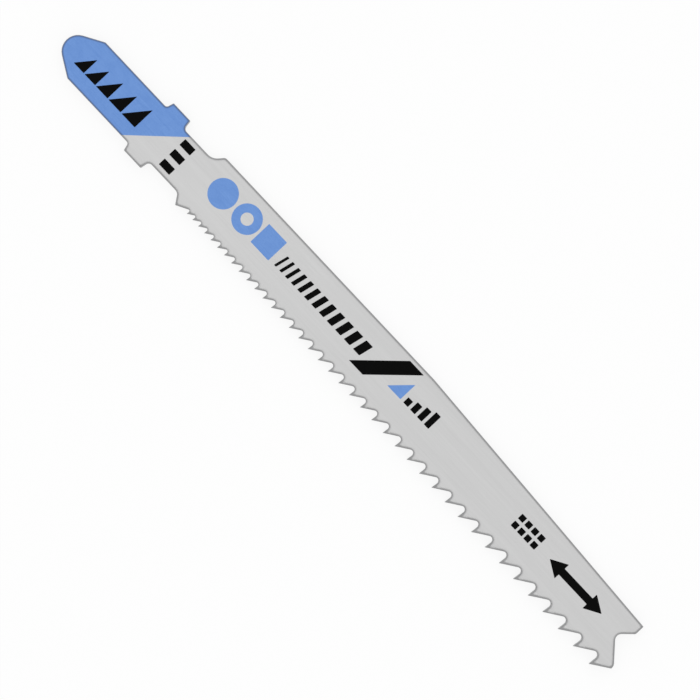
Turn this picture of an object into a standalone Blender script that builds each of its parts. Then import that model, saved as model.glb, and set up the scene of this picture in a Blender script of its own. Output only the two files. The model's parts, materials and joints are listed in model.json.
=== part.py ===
"""Jigsaw blade: a flat high-speed steel strip with a lugged tang at one end,
teeth whose pitch grows toward the tip, and a notched tip.

X runs along the blade toward the tip, Y across it toward the spine and Z out of
the printed face. The origin is on the back face of the tang, on its centreline,
level with the lug shoulders that the saw's clamp holds. Lengths are in metres.
"""

import math
from bisect import bisect_right
from itertools import accumulate, pairwise

import bmesh
import bpy
from mathutils import Vector
from mathutils.geometry import intersect_line_line_2d

OVERALL_LENGTH = 0.1000
THICKNESS = 0.0010
STAMPED_EDGE_BREAK = 0.00006

# Tang, from its nose to the lug shoulders
TANG_LENGTH = 0.01752
TANG_WIDTH = 0.00632
NOSE_RADIUS = 0.0020
NOSE_SLANT = math.radians(30.0)

# Lugs that the clamp hooks behind, and the neck between them and the strip
LUG_SPAN = 0.00825
LUG_ROOT_LENGTH = 0.00337
LUG_TOP_LENGTH = 0.0029
LUG_SHOULDER_LEAN = 0.0002
LUG_ROOT_RADIUS = 0.00035
LUG_SHOULDER_RADIUS = 0.00055
LUG_CORNER_RADIUS = 0.00012
NECK_WIDTH = 0.00578

# Where the neck widens into the strip: a shoulder on the spine side, a heel below
SHOULDER_START = 0.00495
SHOULDER_SLOPE = math.radians(52.0)
SHOULDER_RADIUS = 0.0016
SPINE_CORNER_RADIUS = 0.0005
HEEL_START = 0.00502
HEEL_SLOPE = math.radians(54.0)
HEEL_RADIUS = 0.00073
HEEL_DROP = 0.00413

# Spine, straight at first and then falling toward the tip
SPINE_HEIGHT = 0.00418
TAPER_START = 0.0426
TAPER_SLOPE = math.radians(2.95)

# Notched tip: a short prong on the spine side, a V notch, a longer prong below
SPINE_PRONG_SETBACK = 0.00100
SPINE_PRONG_END = 0.00130
NOTCH_REACH = 0.00169
NOTCH_FLANK_SLOPE = math.radians(46.0)
NOTCH_RADIUS = 0.00077
TIP_PRONG_RADIUS = 0.00075

# Teeth, with a steep hooked front toward the tang and a sloping back
FIRST_TOOTH = 0.00765
LAST_TOOTH_SETBACK = 0.00226
FIRST_TOOTH_DROP = 0.00383
LAST_TOOTH_DROP = 0.00565
FIRST_PITCH = 0.00099
LAST_PITCH = 0.00283
TOOTH_FRONT_RAKE = math.radians(6.0)
TOOTH_BACK_SLOPE = math.radians(34.5)
HEEL_BACK_SLOPE = math.radians(28.0)
GULLET_RADIUS_PER_PITCH = 0.19
MILLING_ALLOWANCE = 0.0005

# Side set: the teeth lean by turns past one face and the other, furthest near the tip
FIRST_SIDE_SET = 0.00016
LAST_SIDE_SET = 0.000195
FIRST_SET_HEIGHT = 0.00034
LAST_SET_HEIGHT = 0.00100

# Blue paint covers the tang's printed face as far as this slanted border
PAINT_BORDER = -0.00155
PAINT_SLANT = math.radians(45.0)

STEEL_COLOUR = (0.597, 0.597, 0.597, 1.0)
BLUE_COLOUR = (0.150, 0.292, 0.708, 1.0)

# How finely arcs are drawn, and how near counts as the same place
ARC_STEP = math.radians(12.0)
SHARP_ANGLE = math.radians(25.0)
FLAT_ANGLE = math.radians(0.1)
SAME_PLACE = 0.000001
FRONT_SLACK = 0.00002
FACING_UP = 0.9

TIP_X = OVERALL_LENGTH - TANG_LENGTH
NOSE_CORNER_X = NOSE_RADIUS - NOSE_RADIUS / math.sin(NOSE_SLANT) - TANG_LENGTH


def polar(angle, length):
    return Vector((math.cos(angle), math.sin(angle))) * length


def arc_points(corner, heading, turn, reach):
    """The arc that starts one reach before a corner and turns into the side after it."""
    radius = reach / math.tan(abs(turn) / 2)
    inward = heading + math.copysign(math.pi / 2, turn)
    centre = corner - polar(heading, reach) + polar(inward, radius)
    steps = max(2, math.ceil(abs(turn) / ARC_STEP))
    return [centre - polar(inward + turn * step / steps, radius) for step in range(steps + 1)]


def round_corners(corners):
    """Outline points from (x, y, radius) corners, whose arcs are limited by the sides they share."""
    places = [Vector((x, y)) for x, y, radius in corners]
    sides = [after - here for here, after in zip(places, [*places[1:], places[0]])]
    headings = [math.atan2(side.y, side.x) for side in sides]
    turns = [math.remainder(heading - headings[index - 1], math.tau)
             for index, heading in enumerate(headings)]
    reaches = [radius * math.tan(abs(turn) / 2) for (x, y, radius), turn in zip(corners, turns)]
    points = []
    for index, corner in enumerate(places):
        reach = reaches[index]
        if reach == 0.0:
            points.append(corner)
            continue
        room_before = sides[index - 1].length / (reaches[index - 1] + reach)
        room_after = sides[index].length / (reach + reaches[(index + 1) % len(places)])
        fit = min(1.0, room_before, room_after)
        points += arc_points(corner, headings[index - 1], turns[index], reach * fit)
    return points


def lug_and_tang_side():
    """One side of the tang, from the neck over the lug to the slant of the nose."""
    slant_x = NOSE_CORNER_X + TANG_WIDTH / 2 / math.tan(NOSE_SLANT)
    return [
        (0.0, NECK_WIDTH / 2, LUG_SHOULDER_RADIUS),
        (-LUG_SHOULDER_LEAN, LUG_SPAN / 2, LUG_CORNER_RADIUS),
        (-LUG_SHOULDER_LEAN - LUG_TOP_LENGTH, LUG_SPAN / 2, LUG_CORNER_RADIUS),
        (-LUG_ROOT_LENGTH, TANG_WIDTH / 2, LUG_ROOT_RADIUS),
        (slant_x, TANG_WIDTH / 2, 0.0),
    ]


def tang():
    """Both sides of the tang, with the round nose between them."""
    spine_side = lug_and_tang_side()
    toothed_side = [(x, -y, radius) for x, y, radius in reversed(spine_side)]
    return [*spine_side, (NOSE_CORNER_X, 0.0, NOSE_RADIUS), *toothed_side]


def heel_at(drop):
    """The place on the heel's slope that lies this far below the tang's centreline."""
    return Vector((HEEL_START + (drop - NECK_WIDTH / 2) / math.tan(HEEL_SLOPE), -drop))


def unmilled_side():
    """From the neck down the heel and straight along the stock that the teeth are cut from."""
    heel = heel_at(HEEL_DROP + MILLING_ALLOWANCE)
    return [
        (HEEL_START, -NECK_WIDTH / 2, HEEL_RADIUS),
        (heel.x, heel.y, 0.0),
        (TIP_X, -LAST_TOOTH_DROP - MILLING_ALLOWANCE, 0.0),
    ]


def notched_tip():
    """Both prongs of the tip and the notch between them, up to the end of the spine."""
    prong_x = TIP_X - SPINE_PRONG_SETBACK
    spine_y = SPINE_HEIGHT - math.tan(TAPER_SLOPE) * (prong_x - TAPER_START)
    flank_y = spine_y - SPINE_PRONG_END
    slope = math.tan(NOTCH_FLANK_SLOPE)
    notch_x = prong_x - NOTCH_REACH
    notch_y = flank_y - slope * NOTCH_REACH
    return [
        (TIP_X, notch_y - slope * (TIP_X - notch_x), TIP_PRONG_RADIUS),
        (notch_x, notch_y, NOTCH_RADIUS),
        (prong_x, flank_y, 0.0),
        (prong_x, spine_y, 0.0),
    ]


def spine_and_shoulder():
    """The spine from its taper back to the shoulder and the neck."""
    rise = SPINE_HEIGHT - NECK_WIDTH / 2
    return [
        (TAPER_START, SPINE_HEIGHT, 0.0),
        (SHOULDER_START + rise / math.tan(SHOULDER_SLOPE), SPINE_HEIGHT, SPINE_CORNER_RADIUS),
        (SHOULDER_START, NECK_WIDTH / 2, SHOULDER_RADIUS),
    ]


def tooth_points():
    """The teeth's points, each pitch longer than the one before by the same step."""
    length = TIP_X - LAST_TOOTH_SETBACK - FIRST_TOOTH
    pitch_count = round(2 * length / (FIRST_PITCH + LAST_PITCH))
    growth = (LAST_PITCH - FIRST_PITCH) / (pitch_count - 1)
    pitches = [FIRST_PITCH + growth * index for index in range(pitch_count)]
    closing = length / sum(pitches)
    fall = (LAST_TOOTH_DROP - FIRST_TOOTH_DROP) / length
    travels = [0.0, *accumulate(pitch * closing for pitch in pitches)]
    return [Vector((FIRST_TOOTH + travel, -FIRST_TOOTH_DROP - fall * travel)) for travel in travels]


def gullet_and_tooth(before, back_slope, tooth, radius):
    """The gullet where the back before it meets a tooth's front, and the tooth's point."""
    far = 2 * (tooth.x - before.x)
    back = before + polar(back_slope, far)
    front = tooth + polar(math.pi / 2 - TOOTH_FRONT_RAKE, far)
    gullet = intersect_line_line_2d(before, back, tooth, front)
    return [(gullet.x, gullet.y, radius), (tooth.x, tooth.y, 0.0)]


def milling_profile(teeth):
    """What the cutter takes away: everything outside the heel's back and the teeth."""
    lead_in = heel_at(HEEL_DROP) - polar(HEEL_BACK_SLOPE, MILLING_ALLOWANCE * 2)
    run_out = teeth[-1] + polar(TOOTH_BACK_SLOPE, LAST_TOOTH_SETBACK * 2)
    below = -LAST_TOOTH_DROP - MILLING_ALLOWANCE * 2
    first_radius = GULLET_RADIUS_PER_PITCH * FIRST_PITCH
    corners = [(lead_in.x, lead_in.y, 0.0)]
    corners += gullet_and_tooth(lead_in, HEEL_BACK_SLOPE, teeth[0], first_radius)
    for before, tooth in pairwise(teeth):
        radius = GULLET_RADIUS_PER_PITCH * (tooth.x - before.x)
        corners += gullet_and_tooth(before, TOOTH_BACK_SLOPE, tooth, radius)
    corners += [(run_out.x, run_out.y, 0.0), (run_out.x, below, 0.0), (lead_in.x, below, 0.0)]
    return corners


def flat_solid(name, corners, depth, collection):
    """A flat outline curve with a thickness, centred in the strip and made a mesh."""
    curve = bpy.data.curves.new(name, "CURVE")
    curve.dimensions = "2D"
    curve.fill_mode = "BOTH"
    curve.extrude = depth / 2
    points = round_corners(corners)
    spline = curve.splines.new("POLY")
    spline.points.add(len(points) - 1)
    for spline_point, point in zip(spline.points, points):
        spline_point.co = (point.x, point.y, 0.0, 1.0)
    spline.use_cyclic_u = True
    outline = bpy.data.objects.new(name + "_outline", curve)
    outline.location.z = THICKNESS / 2
    collection.objects.link(outline)
    solid = bpy.data.objects.new(name, evaluated_mesh(outline))
    solid.matrix_world = outline.matrix_world
    collection.objects.link(solid)
    bpy.data.objects.remove(outline)
    weld_and_flatten(solid.data)
    return solid


def evaluated_mesh(source):
    depsgraph = bpy.context.evaluated_depsgraph_get()
    return bpy.data.meshes.new_from_object(source.evaluated_get(depsgraph))


def weld_and_flatten(mesh):
    """Join the loose caps to the walls and make each cap one face."""
    form = bmesh.new()
    form.from_mesh(mesh)
    bmesh.ops.remove_doubles(form, verts=form.verts, dist=SAME_PLACE)
    bmesh.ops.dissolve_limit(form, angle_limit=FLAT_ANGLE, verts=[], edges=form.edges)
    bmesh.ops.recalc_face_normals(form, faces=form.faces)
    form.to_mesh(mesh)
    form.free()


def cut(form, faces, place, normal):
    """Split faces along a plane, so that each lies on one side of it."""
    edges = dict.fromkeys(edge for face in faces for edge in face.edges)
    verts = dict.fromkeys(vert for face in faces for vert in face.verts)
    geometry = [*verts, *edges, *faces]
    bmesh.ops.bisect_plane(form, geom=geometry, dist=SAME_PLACE, plane_co=place, plane_no=normal)


def tooth_leans(teeth, root, toward_points):
    """Each tooth's lean as sideways travel per height, toward either face by turns.

    The side set grows slowly at first and faster toward the tip, so the blade lies
    on its outermost set teeth and its spine.
    """
    leans = []
    for index, tooth in enumerate(teeth):
        share = (tooth.x - teeth[0].x) / (teeth[-1].x - teeth[0].x)
        side_set = FIRST_SIDE_SET + (LAST_SIDE_SET - FIRST_SIDE_SET) * share ** 2
        lean = side_set / (tooth.to_3d() - root).dot(toward_points)
        leans.append(-lean if index % 2 else lean)
    return leans


def set_teeth(form, teeth):
    """Bend the teeth about one root line, each the other way from its neighbours."""
    first_root = teeth[0] + Vector((0.0, FIRST_SET_HEIGHT))
    last_root = teeth[-1] + Vector((0.0, LAST_SET_HEIGHT))
    along = (last_root - first_root).normalized()
    toward_points = Vector((along.y, -along.x, 0.0))
    root = first_root.to_3d()
    cut(form, form.faces[:], root, toward_points)
    leans = tooth_leans(teeth, root, toward_points)
    fronts = [tooth.x - FRONT_SLACK for tooth in teeth]
    for vert in form.verts:
        height = (vert.co - root).dot(toward_points)
        teeth_passed = bisect_right(fronts, vert.co.x)
        if height > 0.0 and teeth_passed > 0:
            vert.co.z += height * leans[teeth_passed - 1]


def paint_tang(form):
    """Give the tang's printed face the second material, as far as the slanted border."""
    border = Vector((PAINT_BORDER, 0.0, 0.0))
    toward_tip = Vector((math.sin(PAINT_SLANT), -math.cos(PAINT_SLANT), 0.0))
    cut(form, [face for face in form.faces if face.normal.z > FACING_UP], border, toward_tip)
    form.normal_update()
    for face in form.faces:
        on_tang = (face.calc_center_median() - border).dot(toward_tip) < 0.0
        if on_tang and face.normal.z > FACING_UP:
            face.material_index = 1


def material(name, colour, metallic, roughness):
    finish = bpy.data.materials.new(name)
    finish.use_nodes = True
    shader = finish.node_tree.nodes["Principled BSDF"]
    shader.inputs["Base Color"].default_value = colour
    shader.inputs["Metallic"].default_value = metallic
    shader.inputs["Roughness"].default_value = roughness
    return finish


def stamp_blank(collection):
    """The strip before milling, with its stamped edges and corners slightly broken."""
    corners = [*tang(), *unmilled_side(), *notched_tip(), *spine_and_shoulder()]
    blank = flat_solid("blade", corners, THICKNESS, collection)
    edge_break = blank.modifiers.new("edge_break", "BEVEL")
    edge_break.width = STAMPED_EDGE_BREAK
    edge_break.segments = 1
    edge_break.limit_method = "ANGLE"
    edge_break.angle_limit = SHARP_ANGLE
    return blank


def mill(blank, teeth, collection):
    cutter = flat_solid("tooth_cutter", milling_profile(teeth), THICKNESS * 2, collection)
    cutter.hide_render = True
    cutter.display_type = "WIRE"
    milling = blank.modifiers.new("milling", "BOOLEAN")
    milling.operation = "DIFFERENCE"
    milling.object = cutter


def finish_blade(blade, teeth):
    """Set the milled teeth, paint the tang and shade the round edges smooth."""
    blade.data = evaluated_mesh(blade)
    blade.modifiers.clear()
    form = bmesh.new()
    form.from_mesh(blade.data)
    set_teeth(form, teeth)
    paint_tang(form)
    form.to_mesh(blade.data)
    form.free()
    blade.data.materials.append(material("brushed_steel", STEEL_COLOUR, 1.0, 0.35))
    blade.data.materials.append(material("blue_paint", BLUE_COLOUR, 0.0, 0.45))
    blade.data.shade_smooth()
    blade.data.set_sharp_from_angle(angle=SHARP_ANGLE)


def collection_named(name):
    collection = bpy.data.collections.new(name)
    bpy.context.scene.collection.children.link(collection)
    return collection


def main():
    for leftover in list(bpy.data.objects):
        bpy.data.objects.remove(leftover)
    teeth = tooth_points()
    blade = stamp_blank(collection_named("jigsaw_blade"))
    mill(blade, teeth, collection_named("cutters"))
    finish_blade(blade, teeth)


main()
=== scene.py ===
import json
import math

import bmesh
import bpy
from mathutils import Matrix, Vector
from mathutils.geometry import delaunay_2d_cdt, intersect_point_line

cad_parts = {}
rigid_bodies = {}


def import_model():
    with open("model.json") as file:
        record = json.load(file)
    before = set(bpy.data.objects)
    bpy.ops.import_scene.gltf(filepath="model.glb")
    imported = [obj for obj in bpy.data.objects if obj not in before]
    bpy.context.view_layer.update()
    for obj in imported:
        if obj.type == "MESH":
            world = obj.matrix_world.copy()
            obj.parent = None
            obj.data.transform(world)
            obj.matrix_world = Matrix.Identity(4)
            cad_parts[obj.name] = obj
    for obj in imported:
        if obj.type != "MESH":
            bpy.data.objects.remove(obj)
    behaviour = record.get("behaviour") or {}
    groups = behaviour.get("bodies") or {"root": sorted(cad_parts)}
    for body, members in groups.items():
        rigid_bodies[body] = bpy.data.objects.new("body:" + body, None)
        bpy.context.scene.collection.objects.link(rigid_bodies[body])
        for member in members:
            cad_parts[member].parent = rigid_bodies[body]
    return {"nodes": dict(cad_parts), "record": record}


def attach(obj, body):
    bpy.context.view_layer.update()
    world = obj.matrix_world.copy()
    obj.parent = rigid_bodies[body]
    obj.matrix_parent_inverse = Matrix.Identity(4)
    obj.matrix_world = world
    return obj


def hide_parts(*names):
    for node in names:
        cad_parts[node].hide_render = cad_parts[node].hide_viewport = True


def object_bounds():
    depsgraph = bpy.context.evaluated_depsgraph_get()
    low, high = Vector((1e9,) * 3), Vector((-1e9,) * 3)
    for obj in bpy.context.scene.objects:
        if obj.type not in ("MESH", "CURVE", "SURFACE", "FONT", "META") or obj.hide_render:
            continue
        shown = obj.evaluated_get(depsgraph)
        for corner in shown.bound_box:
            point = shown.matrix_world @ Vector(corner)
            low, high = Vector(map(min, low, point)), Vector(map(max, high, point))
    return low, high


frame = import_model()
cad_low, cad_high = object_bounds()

# Lengths are in metres. The blade lies along X with its spine toward +Y and its
# printed face up, and that face is level with the mount on the front of the tang.
MOUNTS = {mount["name"]: mount["pos_m"] for mount in frame["record"]["mounts"]}
FACE_Z = MOUNTS["tang_front_face"][2]

# Sorting and joining the triangles of the CAD's mesh, and a share that counts as all
SAME_PLACE = 1e-6
FLAT_ANGLE = math.radians(0.1)
SHARP_ANGLE = math.radians(25)
FACING_UP = 0.9
NEARLY_ALL = 0.999

# Films of paint and ink on the printed face
PAINT_FILM = 0.000012
INK_FILM = 0.000010

# The tang's paint ends on a slanted line through this place on X, and has a painted shade
# over this width where it meets the edge of the steel. It is cut from a slightly longer field.
PAINT_BORDER_X = -0.00155
PAINT_SLANT = math.radians(45)
PAINT_SHADE_WIDTH = 0.00030
PAINT_SPARE = 0.0010
EDGE_SHARE = "edge_share"

# Corners of the printed marks, softened unless a mark is round already
INK_CORNER = 0.00009
CORNER_STEPS = 4
MOST_CORNERS = 12

# Colours in linear light
STEEL_DARK = (0.552, 0.552, 0.552, 1.0)
STEEL_LIGHT = (0.603, 0.603, 0.603, 1.0)
# The colour of the painted shade along the edges of the brushed faces
STEEL_PAINTED_SHADE = (0.278, 0.278, 0.281, 1.0)
CUT_DARK = (0.31, 0.31, 0.315, 1.0)
CUT_LIGHT = (0.42, 0.42, 0.425, 1.0)
TORN_DARK = (0.20, 0.20, 0.205, 1.0)
TORN_LIGHT = (0.34, 0.34, 0.345, 1.0)
FLOOR_WHITE = (0.95, 0.95, 0.95, 1.0)
WHITE = (1.0, 1.0, 1.0, 1.0)

# The two inks. The colour of a painted shade shows where a film's edge share is one.
BLUE_INK = {
    "dark": (0.119, 0.258, 0.618, 1.0),
    "light": (0.172, 0.333, 0.713, 1.0),
    # Painted shade where the blue film meets the edge of the steel
    "painted_shade": (0.085, 0.140, 0.290, 1.0),
    "roughness": (0.34, 0.50),
    "specular": 0.22,
}
BLACK_INK = {
    "dark": (0.0008, 0.0008, 0.0008, 1.0),
    "light": (0.0025, 0.0025, 0.0025, 1.0),
    "roughness": (0.50, 0.65),
    "specular": 0.04,
}

# Noise: how many finer layers it has, how strong they are, and where its values lie
FINE_LAYERS = 4.0
MIDDLE_LAYERS = 3.0
COARSE_LAYERS = 2.0
LAYER_STRENGTH = 0.6
NOISE_SPAN = (0.30, 0.70)
RELIEF_STRENGTH = 0.5

# Brushed faces: the size of their strokes along X, Y and Z
HAIRLINES = (0.0050, 0.000055, 0.0005)
STREAKS = (0.0300, 0.000600, 0.0020)
HAIRLINE_SHARE = 0.6
FACE_ROUGHNESS = (0.42, 0.30)
STEEL_RELIEF = 0.0000025

# A surface turns from edge to face as its normal's part along Z grows through this
FACE_SPAN = (0.76, 0.86)

# Cut edge: burnished above a wavering height, torn below it, milled along the teeth
CUT_LINES = (0.000045, 0.000045, 0.0016)
TORN_SPOTS = (0.000060, 0.000060, 0.000110)
WAVER = (0.000400, 0.000400, 0.0100)
WAVER_HEIGHT = 0.00030
BURNISH_SPAN = (0.00035, 0.00043)
CUT_ROUGHNESS = (0.46, 0.34)
TORN_ROUGHNESS = (0.62, 0.50)
MILLED_START = 0.0076
MILLED_END = 0.0806
MILLED_FADE = 0.0002
MILLED_SIDE = (-0.0028, -0.0030)

# Painted shade along the edges of the faces: how far the inside of the steel is felt out from a
# face, and the openness there at which the painted shade begins and is full
EDGE_SHADE_REACH = 0.00041
EDGE_SHADE_SPAN = (0.93, 0.74)
EDGE_SHADE_SAMPLES = 8

# Ink: the size of its grain along X, Y and Z
INK_HAIRLINES = (0.0040, 0.000050, 0.0005)
INK_SPECKS = (0.000070, 0.000070, 0.000070)
INK_CLOUDS = (0.0012, 0.0009, 0.0009)
FINE_SHARE = 0.85
INK_COLOUR_SPAN = (0.36, 0.64)
INK_GLOSS_SPAN = (0.35, 0.65)
# Where the painted shade at a film's edge eases in
INK_SHADE_SPAN = (0.1, 0.9)
INK_RELIEF = 0.000004

# Saw teeth on the tang's paint. Of each printed mark, the start lies on X and the
# base on Y, and the marks follow in turn from tang to tip.
TEETH_START = -0.0149
TEETH_BASE = -0.0013
TEETH_WIDTHS = (0.0019, 0.0020, 0.0022, 0.0023, 0.0025)
TEETH_FILL = 0.92
TEETH_RISE = 1.20

# Bars across the neck
NECK_BARS_START = 0.00100
NECK_BARS_BASE = -0.0022
NECK_BAR_COUNT = 3
NECK_BAR_STEP = 0.0017
NECK_BAR_LENGTH = 0.0018
NECK_BAR_HEIGHT = 0.0010

# A disc, a ring and a square, with their middles on one line
SECTIONS_MIDDLE = 0.0010
SECTION_RADIUS = 0.0019
ROUND_SIDES = 48
DISC_PLACE = 0.0089
RING_PLACE = 0.0131
RING_HOLE_RADIUS = 0.0008
SQUARE_PLACE = 0.0169
SQUARE_RADIUS = 0.0022
SQUARE_SIDES = 4
SQUARE_TURN = math.radians(45)

# The pitch bars, the wedge and the steps all stand on this line
SCALES_BASE = -0.0004

# Bars that grow as the pitch of the teeth does
PITCH_BARS_START = 0.0193
PITCH_BAR_COUNT = 12
PITCH_BAR_LENGTH = 0.00035
PITCH_BAR_GROWTH = 0.00007
PITCH_BAR_GAP = 0.00056
PITCH_BAR_HEIGHT = 0.0019
PITCH_BAR_SLANT = 0.0004

# A slanted band
BAND_BASE = -0.00168
BAND_TOP = 0.00362
BAND_BASE_ENDS = (0.03382, 0.03623)
BAND_TOP_ENDS = (0.03896, 0.04136)

# A wedge, and steps after it
WEDGE_START = 0.0392
WEDGE_LENGTH = 0.0023
WEDGE_HEIGHT = 0.0025
STEPS_START = 0.0420
STEP_COUNT = 4
STEP_PITCH = 0.0012
STEP_LENGTH = 0.0008
STEP_HEIGHT = 0.0009
STEP_RISE = 0.0004

# Two rows of small squares
DASHES_START = 0.0616
DASHES_BASES = (0.0001, -0.0011)
DASH_COUNT = 4
DASH_PITCH = 0.0011
DASH_SIDE = 0.0008

# An arrow with two heads, whose reaches lie to either side of its middle
ARROW_START = 0.0678
ARROW_END = 0.0769
ARROW_MIDDLE = -0.00045
ARROW_HEAD_LENGTH = 0.0021
ARROW_HEAD_REACH = 0.0012
ARROW_SHAFT_REACH = 0.0005

# Floor and surround: the share of the floor that glows white where it is seen directly,
# and the strength at which the surround lights the blade
FLOOR_RADIUS = 3.0
FLOOR_SIDES = 96
FLOOR_GLOW = 0.85
SURROUND_LIGHT = 0.90

# Square lamps, each at a place from the middle of the picture, with its side and power
KEY_LAMP = {"place": (-0.60, 0.55, 0.85), "side": 1.7, "power": 1.7}
FILL_LAMP = {"place": (0.75, -0.50, 0.75), "side": 1.0, "power": 0.5}

# The picture is square: how much of the printed face spans it, the middle of that, and
# which way is right. Sensor and lens are in millimetres.
PICTURE_SPAN = 0.084178
PICTURE_CENTRE = Vector((0.03304, -0.000754, FACE_Z))
PICTURE_RIGHT = Vector((0.6848, 0.7287, 0.0)).normalized()
SENSOR = 36.0
LENS = 200.0

# What Blender starts with
DEFAULT_OBJECTS = ("Cube", "Light", "Camera")

# Numbers of the Mix node's colour sockets, whose names aren't unique
FIRST_COLOUR = 6
SECOND_COLOUR = 7
MIXED_COLOUR = 2

# What the triangulation is asked for: triangles inside the outline alone
INSIDE_ONLY = 1


def add_node(tree, kind, settings=None, inputs=None):
    """A new node with its settings made and its inputs set or linked."""
    made = tree.nodes.new(kind)
    for name, value in (settings or {}).items():
        setattr(made, name, value)
    for name, value in (inputs or {}).items():
        if isinstance(value, bpy.types.NodeSocket):
            tree.links.new(value, made.inputs[name])
        else:
            made.inputs[name].default_value = value
    return made


def calculate(tree, operation, first, second=0.0):
    """The result of one sum on two numbers or sockets."""
    made = add_node(tree, "ShaderNodeMath", {"operation": operation}, {0: first, 1: second})
    return made.outputs[0]


def ease(tree, value, span, result=(0.0, 1.0)):
    """A value eased from one span to another and held inside it."""
    made = add_node(
        tree, "ShaderNodeMapRange", {"interpolation_type": "SMOOTHSTEP"},
        {"Value": value, "From Min": span[0], "From Max": span[1],
         "To Min": result[0], "To Max": result[1]})
    return made.outputs["Result"]


def between(tree, share, first, second):
    """A number between two numbers."""
    step = calculate(tree, "SUBTRACT", second, first)
    return calculate(tree, "ADD", first, calculate(tree, "MULTIPLY", step, share))


def mean(tree, first, second, share=0.5):
    """The sum of share of the first value and the rest of the second."""
    return calculate(tree, "ADD", calculate(tree, "MULTIPLY", first, share),
                     calculate(tree, "MULTIPLY", second, 1.0 - share))


def blend(tree, share, first, second):
    """A colour between two colours."""
    made = add_node(tree, "ShaderNodeMix", {"data_type": "RGBA"},
                    {"Factor": share, FIRST_COLOUR: first, SECOND_COLOUR: second})
    return made.outputs[MIXED_COLOUR]


def grain(tree, place, sizes, layers=MIDDLE_LAYERS):
    """Noise whose spots have these sizes along X, Y and Z."""
    stretched = add_node(
        tree, "ShaderNodeVectorMath", {"operation": "MULTIPLY"},
        {0: place, 1: Vector(1.0 / size for size in sizes)})
    made = add_node(
        tree, "ShaderNodeTexNoise", {},
        {"Vector": stretched.outputs[0], "Scale": 1.0, "Detail": layers,
         "Roughness": LAYER_STRENGTH})
    return made.outputs["Fac"]


def new_material(name):
    """A material with its node tree and its Principled shader."""
    material = bpy.data.materials.new(name)
    material.use_nodes = True
    tree = material.node_tree
    return material, tree, tree.nodes["Principled BSDF"]


def finish_surface(tree, shader, colour, rough, height, depth):
    """Gives the shader its colour and roughness, and a relief this deep."""
    tree.links.new(colour, shader.inputs["Base Color"])
    tree.links.new(rough, shader.inputs["Roughness"])
    relief = add_node(tree, "ShaderNodeBump", {},
                      {"Strength": RELIEF_STRENGTH, "Distance": depth, "Height": height})
    tree.links.new(relief.outputs["Normal"], shader.inputs["Normal"])


def brushed_face(tree, place):
    """The colour, roughness and relief of the flat faces, brushed along the blade."""
    hairline = grain(tree, place, HAIRLINES)
    streak = grain(tree, place, STREAKS, COARSE_LAYERS)
    strokes = mean(tree, hairline, streak, HAIRLINE_SHARE)
    colour = blend(tree, ease(tree, strokes, NOISE_SPAN), STEEL_DARK, STEEL_LIGHT)
    rough = ease(tree, strokes, NOISE_SPAN, FACE_ROUGHNESS)
    return colour, rough, hairline


def milled_share(tree, x, y):
    """One on the milled flanks of the teeth and zero on the stamped outline."""
    past_start = ease(tree, x, (MILLED_START, MILLED_START + MILLED_FADE))
    before_end = ease(tree, x, (MILLED_END, MILLED_END - MILLED_FADE))
    along = calculate(tree, "MULTIPLY", past_start, before_end)
    return calculate(tree, "MULTIPLY", along, ease(tree, y, MILLED_SIDE))


def cut_edge(tree, place):
    """The colour, roughness and relief of the edge: fine lines through the thickness.

    A stamped edge is burnished next to the printed face and torn next to the back.
    The cutter's lines on the milled teeth are brighter and run all the way through.
    """
    axes = add_node(tree, "ShaderNodeSeparateXYZ", {}, {0: place})
    lines = grain(tree, place, CUT_LINES, FINE_LAYERS)
    torn = grain(tree, place, TORN_SPOTS, FINE_LAYERS)
    waver = grain(tree, place, WAVER, COARSE_LAYERS)
    lowered = calculate(tree, "MULTIPLY", waver, WAVER_HEIGHT)
    level = calculate(tree, "SUBTRACT", axes.outputs["Z"], lowered)
    milled = milled_share(tree, axes.outputs["X"], axes.outputs["Y"])
    smooth = calculate(tree, "MAXIMUM", ease(tree, level, BURNISH_SPAN), milled)

    pattern = between(tree, smooth, torn, lines)
    spread = ease(tree, pattern, NOISE_SPAN)
    stamped = blend(tree, spread, TORN_DARK, TORN_LIGHT)
    sheared = blend(tree, spread, CUT_DARK, CUT_LIGHT)
    colour = blend(tree, smooth, stamped, sheared)
    rough = between(tree, smooth, ease(tree, pattern, NOISE_SPAN, TORN_ROUGHNESS),
                    ease(tree, pattern, NOISE_SPAN, CUT_ROUGHNESS))
    return colour, rough, pattern


def painted_edge_shade(tree):
    """One next to an edge, for painted shade where the broken edge catches no light, and zero
    further in.
    """
    felt = add_node(
        tree, "ShaderNodeAmbientOcclusion",
        {"inside": True, "only_local": True, "samples": EDGE_SHADE_SAMPLES}, {"Distance": EDGE_SHADE_REACH})
    return ease(tree, felt.outputs["AO"], EDGE_SHADE_SPAN)


def steel_material():
    """Brushed steel on the faces with painted shade along their edges, and a darker stamped and
    milled edge.
    """
    material, tree, shader = new_material("brushed_steel")
    coordinates = add_node(tree, "ShaderNodeTexCoord")
    place = coordinates.outputs["Object"]
    normal = add_node(tree, "ShaderNodeSeparateXYZ", {}, {0: coordinates.outputs["Normal"]})
    is_face = ease(tree, calculate(tree, "ABSOLUTE", normal.outputs["Z"]), FACE_SPAN)
    face_colour, face_rough, face_height = brushed_face(tree, place)
    edge_colour, edge_rough, edge_height = cut_edge(tree, place)

    # Painted shade: the faces darken next to their edges, where the steel's inside is felt nearby
    painted_shade = calculate(tree, "MULTIPLY", painted_edge_shade(tree), is_face)
    colour = blend(tree, painted_shade, blend(tree, is_face, edge_colour, face_colour), STEEL_PAINTED_SHADE)
    rough = between(tree, is_face, edge_rough, face_rough)
    height = between(tree, is_face, edge_height, face_height)
    finish_surface(tree, shader, colour, rough, height, STEEL_RELIEF)
    shader.inputs["Metallic"].default_value = 1.0
    return material


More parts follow.
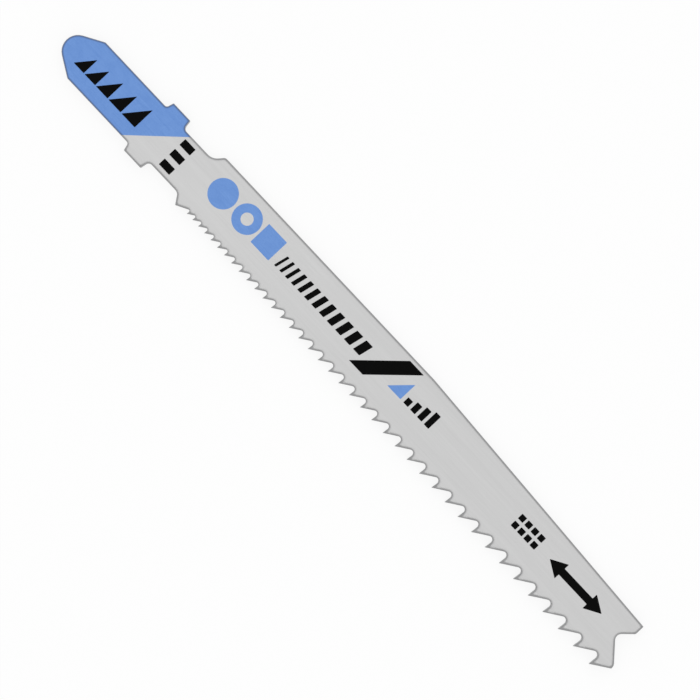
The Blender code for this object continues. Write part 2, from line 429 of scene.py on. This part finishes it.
def ink_material(name, ink):
    """Printed ink, with the brushed grain showing faintly through it."""
    material, tree, shader = new_material(name)
    place = add_node(tree, "ShaderNodeTexCoord").outputs["Object"]
    hairline = grain(tree, place, INK_HAIRLINES)
    speckle = grain(tree, place, INK_SPECKS, COARSE_LAYERS)
    cloud = grain(tree, place, INK_CLOUDS, COARSE_LAYERS)
    fine = mean(tree, hairline, speckle)
    texture = mean(tree, fine, cloud, FINE_SHARE)
    colour = blend(tree, ease(tree, texture, INK_COLOUR_SPAN), ink["dark"], ink["light"])
    # A darker colour at the film's edge is painted shade
    if "painted_shade" in ink:
        at_edge = add_node(tree, "ShaderNodeAttribute", {"attribute_name": EDGE_SHARE})
        painted_shade = ease(tree, at_edge.outputs["Fac"], INK_SHADE_SPAN)
        colour = blend(tree, painted_shade, colour, ink["painted_shade"])
    rough = ease(tree, mean(tree, speckle, cloud), INK_GLOSS_SPAN, ink["roughness"])
    finish_surface(tree, shader, colour, rough, fine, INK_RELIEF)
    shader.inputs["Specular IOR Level"].default_value = ink["specular"]
    return material


def seen_directly(tree):
    """One for what the camera sees, straight or by way of gloss or glass, and else zero."""
    path = add_node(tree, "ShaderNodeLightPath")
    seen = calculate(tree, "MAXIMUM", path.outputs["Is Camera Ray"], path.outputs["Is Glossy Ray"])
    return calculate(tree, "MAXIMUM", seen, path.outputs["Is Transmission Ray"])


def floor_material():
    """A pale matt floor that shows white and keeps a soft shadow."""
    material, tree, shader = new_material("floor_white")
    shader.inputs["Base Color"].default_value = FLOOR_WHITE
    shader.inputs["Roughness"].default_value = 1.0
    shader.inputs["Specular IOR Level"].default_value = 0.0
    white = add_node(tree, "ShaderNodeEmission", {}, {"Color": WHITE, "Strength": 1.0})
    share = calculate(tree, "MULTIPLY", seen_directly(tree), FLOOR_GLOW)
    mixed = add_node(
        tree, "ShaderNodeMixShader", {}, {0: share, 1: shader.outputs[0], 2: white.outputs[0]})
    tree.links.new(mixed.outputs[0], tree.nodes["Material Output"].inputs["Surface"])
    return material


def places_of(part):
    """Where the corners of a vertex, an edge or a face are, as a sorted list."""
    corners = [part] if isinstance(part, bmesh.types.BMVert) else part.verts
    return sorted(tuple(corner.co) for corner in corners)


def put_in_order(shape):
    """Sorts a shape's parts by their places, so that each run gives the same mesh."""
    for parts in (shape.verts, shape.edges, shape.faces):
        ranks = {part: rank for rank, part in enumerate(sorted(parts, key=places_of))}
        parts.sort(key=ranks.get)


def new_object(name, shape, material):
    """An object in the scene from a bmesh, which is used up."""
    put_in_order(shape)
    mesh = bpy.data.meshes.new(name)
    shape.to_mesh(mesh)
    shape.free()
    mesh.materials.append(material)
    made = bpy.data.objects.new(name, mesh)
    bpy.context.scene.collection.objects.link(made)
    return made


def new_piece(name, shape, material):
    """A piece of the blade, which rides with it."""
    piece = new_object(name, shape, material)
    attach(piece, "root")
    return piece


def blade_copy():
    """A copy of the CAD's mesh, in which every triangle is loose."""
    shape = bmesh.new()
    shape.from_mesh(frame["nodes"]["blade"].data)
    return shape


def blade_steel(material):
    """The blade itself: the CAD's loose triangles joined into one skin.

    Its faces are shaded flat and its walls round, apart from their sharp or open edges.
    """
    shape = blade_copy()
    bmesh.ops.remove_doubles(shape, verts=shape.verts[:], dist=SAME_PLACE)
    bmesh.ops.dissolve_limit(
        shape, angle_limit=FLAT_ANGLE, verts=shape.verts[:], edges=shape.edges[:])
    for face in shape.faces:
        face.smooth = abs(face.normal.z) < FACING_UP
    for edge in shape.edges:
        edge.smooth = edge.calc_face_angle(math.pi) < SHARP_ANGLE
    piece = new_piece("blade_steel", shape, material)
    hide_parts("blade")


def thicken(shape, bottom, film):
    """Turns flat faces that look up into a closed film of one thickness."""
    for vert in shape.verts:
        vert.co.z = bottom
    raised = bmesh.ops.extrude_face_region(shape, geom=shape.faces[:], use_keep_orig=True)
    tops = [item for item in raised["geom"] if isinstance(item, bmesh.types.BMVert)]
    bmesh.ops.translate(shape, verts=tops, vec=Vector((0.0, 0.0, film)))
    bmesh.ops.recalc_face_normals(shape, faces=shape.faces[:])


def cut_off(shape, border):
    """Leaves what lies on the tang's side of a slanted line through this place on X."""
    across = Vector((math.sin(PAINT_SLANT), -math.cos(PAINT_SLANT), 0.0))
    bmesh.ops.bisect_plane(
        shape, geom=shape.verts[:] + shape.edges[:] + shape.faces[:], dist=SAME_PLACE,
        plane_co=Vector((border, 0.0, FACE_Z)), plane_no=across, clear_outer=True)


def is_printed_face(face):
    """Whether a face of the CAD's mesh lies level on top of the blade."""
    lowest = min(vert.co.z for vert in face.verts)
    return face.normal.z >= NEARLY_ALL and lowest >= FACE_Z - SAME_PLACE


def tang_outline():
    """The corners of the tang's printed face in turn, up to a little past its paint."""
    shape = blade_copy()
    others = [face for face in shape.faces if not is_printed_face(face)]
    bmesh.ops.delete(shape, geom=others, context="FACES")
    bmesh.ops.remove_doubles(shape, verts=shape.verts[:], dist=SAME_PLACE)
    cut_off(shape, PAINT_BORDER_X + PAINT_SPARE)
    joined = bmesh.ops.dissolve_faces(shape, faces=shape.faces[:], use_verts=False)["region"]
    largest = max(joined, key=lambda face: face.calc_area())
    outline = [vert.co.to_2d() for vert in largest.verts]
    shape.free()
    return outline


def distance_to(outline, point):
    """How far a point is from the nearest side of an outline."""
    nearest = math.inf
    for index, corner in enumerate(outline):
        _, share = intersect_point_line(point, outline[index - 1], corner)
        foot = outline[index - 1].lerp(corner, min(max(share, 0.0), 1.0))
        nearest = min(nearest, (point - foot).length)
    return nearest


def points_inside(outline, reach):
    """Points along the outline's inner side that are just this far from it."""
    points = []
    for index, corner in enumerate(outline):
        side = corner - outline[index - 1]
        inward = side.orthogonal().normalized() * reach
        steps = math.ceil(side.length / reach)
        for step in range(steps):
            point = outline[index - 1] + side * (step + 0.5) / steps + inward
            if distance_to(outline, point) > reach * NEARLY_ALL:
                points.append(point)
    return points


def tang_paint(material):
    """The blue field over the tang, a film with painted shade where it meets the edge."""
    outline = tang_outline()
    corners = outline + points_inside(outline, PAINT_SHADE_WIDTH)
    places, _, faces, sources, _, _ = delaunay_2d_cdt(
        corners, [], [list(range(len(outline)))], INSIDE_ONLY, SAME_PLACE)
    shape = bmesh.new()
    at_edge = shape.verts.layers.float.new(EDGE_SHARE)
    verts = []
    for place, source in zip(places, sources):
        vert = shape.verts.new((place.x, place.y, FACE_Z))
        vert[at_edge] = 1.0 if min(source) < len(outline) else 0.0
        verts.append(vert)
    for face in faces:
        shape.faces.new([verts[index] for index in face])
    cut_off(shape, PAINT_BORDER_X)
    thicken(shape, FACE_Z, PAINT_FILM)
    new_piece("tang_paint", shape, material)


def softened(outline):
    """The outline with each sharp corner rounded a little, as ink flows."""
    points = [Vector(corner) for corner in outline]
    count = len(points)
    if count > MOST_CORNERS:
        return outline
    rounded = []
    for index, corner in enumerate(points):
        before = (points[index - 1] - corner).normalized() * INK_CORNER
        after = (points[(index + 1) % count] - corner).normalized() * INK_CORNER
        for step in range(CORNER_STEPS + 1):
            share = step / CORNER_STEPS
            rounded.append(corner + before * (1 - share) ** 2 + after * share ** 2)
    return [tuple(point) for point in rounded]


def printed(name, outlines, material, bottom=FACE_Z, holes=None):
    """One printed mark, made of flat outlines given anticlockwise.

    A hole is given under the number of its outline and has as many corners.
    """
    shape = bmesh.new()
    for number, outline in enumerate(outlines):
        corners = [shape.verts.new((x, y, bottom)) for x, y in softened(outline)]
        hole = (holes or {}).get(number)
        if not hole:
            shape.faces.new(corners)
            continue
        inner = [shape.verts.new((x, y, bottom)) for x, y in hole]
        for this in range(len(corners)):
            after = (this + 1) % len(corners)
            shape.faces.new((corners[this], corners[after], inner[after], inner[this]))
    thicken(shape, bottom, INK_FILM)
    new_piece(name, shape, material)


def regular(centre, radius, sides, turn=0.0):
    """The corners of a regular shape round a centre, anticlockwise."""
    angles = (turn + math.tau * step / sides for step in range(sides))
    return [(centre[0] + radius * math.cos(angle), centre[1] + radius * math.sin(angle))
            for angle in angles]


def bar(x, y, length, height, slant=0.0):
    """A bar's corners from its low end, leaning by slant over its height."""
    return [(x, y), (x + length, y), (x + length + slant, y + height), (x + slant, y + height)]


def tang_teeth_mark(ink):
    """A row of saw teeth that grow toward the tip, on the tang's paint."""
    teeth = []
    start = TEETH_START
    for width in TEETH_WIDTHS:
        end = start + width * TEETH_FILL
        top = TEETH_BASE + width * TEETH_RISE
        teeth.append([(start, TEETH_BASE), (end, TEETH_BASE), (end, top)])
        start += width
    printed("tang_teeth_mark", teeth, ink, FACE_Z + PAINT_FILM)


def neck_bars(ink):
    """Bars side by side across the neck."""
    bases = [NECK_BARS_BASE + NECK_BAR_STEP * step for step in range(NECK_BAR_COUNT)]
    bars = [bar(NECK_BARS_START, base, NECK_BAR_LENGTH, NECK_BAR_HEIGHT) for base in bases]
    printed("neck_bars", bars, ink)


def section_marks(ink):
    """What the blade cuts, in section: a rod, a tube and a square bar."""
    disc = regular((DISC_PLACE, SECTIONS_MIDDLE), SECTION_RADIUS, ROUND_SIDES)
    ring = regular((RING_PLACE, SECTIONS_MIDDLE), SECTION_RADIUS, ROUND_SIDES)
    hole = regular((RING_PLACE, SECTIONS_MIDDLE), RING_HOLE_RADIUS, ROUND_SIDES)
    square = regular((SQUARE_PLACE, SECTIONS_MIDDLE), SQUARE_RADIUS, SQUARE_SIDES, SQUARE_TURN)
    sections = [disc, ring, square]
    printed("section_marks", sections, ink, holes={sections.index(ring): hole})


def pitch_bars(ink):
    """A row of leaning bars that grow as the pitch of the teeth does."""
    bars = []
    start = PITCH_BARS_START
    for step in range(PITCH_BAR_COUNT):
        length = PITCH_BAR_LENGTH + PITCH_BAR_GROWTH * step
        bars.append(bar(start, SCALES_BASE, length, PITCH_BAR_HEIGHT, PITCH_BAR_SLANT))
        start += length + PITCH_BAR_GAP
    printed("pitch_bars", bars, ink)


def slanted_band(ink):
    """A broad leaning band across the middle of the blade."""
    base = [(x, BAND_BASE) for x in BAND_BASE_ENDS]
    top = [(x, BAND_TOP) for x in reversed(BAND_TOP_ENDS)]
    printed("slanted_band", [base + top], ink)


def gauge_wedge(ink):
    """A wedge that rises toward the tip."""
    end = WEDGE_START + WEDGE_LENGTH
    wedge = [(WEDGE_START, SCALES_BASE), (end, SCALES_BASE), (end, SCALES_BASE + WEDGE_HEIGHT)]
    printed("gauge_wedge", [wedge], ink)


def gauge_steps(ink):
    """Bars of one length whose height rises toward the tip."""
    bars = []
    for step in range(STEP_COUNT):
        start = STEPS_START + STEP_PITCH * step
        height = STEP_HEIGHT + STEP_RISE * step
        bars.append(bar(start, SCALES_BASE, STEP_LENGTH, height))
    printed("gauge_steps", bars, ink)


def dash_rows(ink):
    """Two rows of small squares."""
    dashes = [bar(DASHES_START + DASH_PITCH * step, base, DASH_SIDE, DASH_SIDE)
              for step in range(DASH_COUNT) for base in DASHES_BASES]
    printed("dash_rows", dashes, ink)


def stroke_arrow(ink):
    """An arrow with a head at either end, for the stroke of the saw."""
    first_head = ARROW_START + ARROW_HEAD_LENGTH
    last_head = ARROW_END - ARROW_HEAD_LENGTH
    low_side = [(first_head, -ARROW_HEAD_REACH), (first_head, -ARROW_SHAFT_REACH),
                (last_head, -ARROW_SHAFT_REACH), (last_head, -ARROW_HEAD_REACH)]
    high_side = [(x, -y) for x, y in reversed(low_side)]
    around = [(ARROW_START, 0.0)] + low_side + [(ARROW_END, 0.0)] + high_side
    printed("stroke_arrow", [[(x, ARROW_MIDDLE + y) for x, y in around]], ink)


def print_marks(blue, black):
    """Plain marks where the blade is printed: sections, scales, bars and an arrow."""
    tang_teeth_mark(black)
    neck_bars(black)
    section_marks(blue)
    pitch_bars(black)
    slanted_band(black)
    gauge_wedge(blue)
    gauge_steps(black)
    dash_rows(black)
    stroke_arrow(black)


def add_floor(height):
    """A wide pale floor at this height."""
    shape = bmesh.new()
    bmesh.ops.create_circle(shape, cap_ends=True, radius=FLOOR_RADIUS, segments=FLOOR_SIDES)
    floor = new_object("floor", shape, floor_material())
    floor.location.z = height


def add_surround():
    """A white surround that lights the blade softly from all sides."""
    world = bpy.data.worlds.new("studio")
    world.use_nodes = True
    tree = world.node_tree
    background = tree.nodes["Background"]
    background.inputs["Color"].default_value = WHITE
    strength = ease(tree, seen_directly(tree), (0.0, 1.0), (SURROUND_LIGHT, 1.0))
    tree.links.new(strength, background.inputs["Strength"])
    bpy.context.scene.world = world


def add_lamp(name, place, side, power):
    """A soft square lamp that looks at the middle of the picture."""
    lamp = bpy.data.lights.new(name, "AREA")
    lamp.shape = "SQUARE"
    lamp.size = side
    lamp.energy = power
    holder = bpy.data.objects.new(name, lamp)
    holder.location = PICTURE_CENTRE + Vector(place)
    toward = -Vector(place)
    holder.rotation_euler = toward.to_track_quat("-Z", "Y").to_euler()
    bpy.context.scene.collection.objects.link(holder)


def add_camera():
    """A long lens straight above the printed face, turned as the picture is."""
    data = bpy.data.cameras.new("camera")
    data.sensor_width = SENSOR
    data.lens = LENS
    camera = bpy.data.objects.new("camera", data)
    back = Vector((0.0, 0.0, 1.0))
    up = back.cross(PICTURE_RIGHT)
    distance = PICTURE_SPAN * LENS / SENSOR
    turn = Matrix((PICTURE_RIGHT, up, back)).transposed()
    camera.matrix_world = Matrix.LocRotScale(PICTURE_CENTRE + back * distance, turn, None)
    bpy.context.scene.collection.objects.link(camera)
    bpy.context.scene.camera = camera


def clear_defaults():
    """Removes the objects that Blender starts with."""
    for thing in list(bpy.data.objects):
        if thing.name in DEFAULT_OBJECTS:
            bpy.data.objects.remove(thing)


def main():
    """Dresses the blade, and sets up the floor, the light and the camera."""
    clear_defaults()
    bpy.context.scene.view_settings.view_transform = "Standard"

    blade_steel(steel_material())
    blue = ink_material("blue_ink", BLUE_INK)
    black = ink_material("black_ink", BLACK_INK)
    tang_paint(blue)
    print_marks(blue, black)

    add_floor(cad_low[2])
    add_surround()
    add_lamp("key", **KEY_LAMP)
    add_lamp("fill", **FILL_LAMP)
    add_camera()


main()
